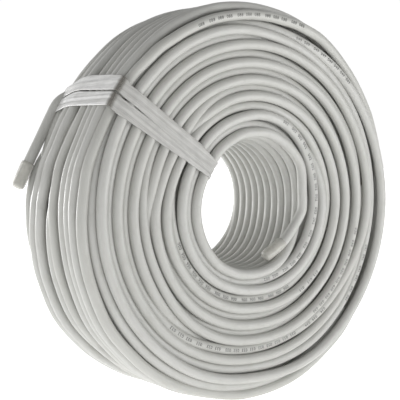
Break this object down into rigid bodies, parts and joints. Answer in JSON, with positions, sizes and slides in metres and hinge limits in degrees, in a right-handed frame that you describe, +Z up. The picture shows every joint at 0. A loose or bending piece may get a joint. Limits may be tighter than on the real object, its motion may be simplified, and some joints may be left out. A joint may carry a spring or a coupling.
{
  "type": "coaxial cable coil",
  "caption": "Coil of light grey coaxial cable standing on its rim, about 90 m in 15 layers, held by two loops of clear stretch film at one place.",
  "frame": {"origin": "on the floor under the coil's centre, on the lowest facet of the middle turn of the rim", "axes": "+Z up, Y along the coil's axis, with the face that the picture shows towards -Y and the film on the -X side"},
  "size_m": [0.2811, 0.079, 0.2712],
  "materials": {
    "jacket": "satin light warm grey vinyl",
    "film": "clear stretch film, milky where it is wound in layers",
    "tape": "clear tape with a slight warm tint"
  },
  "bodies": {
    "root": {"cable_coil": "jacket", "cable_tail_outer": "jacket", "cable_tail_inner": "jacket", "end_cap_outer": "tape", "end_cap_inner": "tape", "film_strap_upper": "film", "film_strap_lower": "film"}
  },
  "joints": []
}
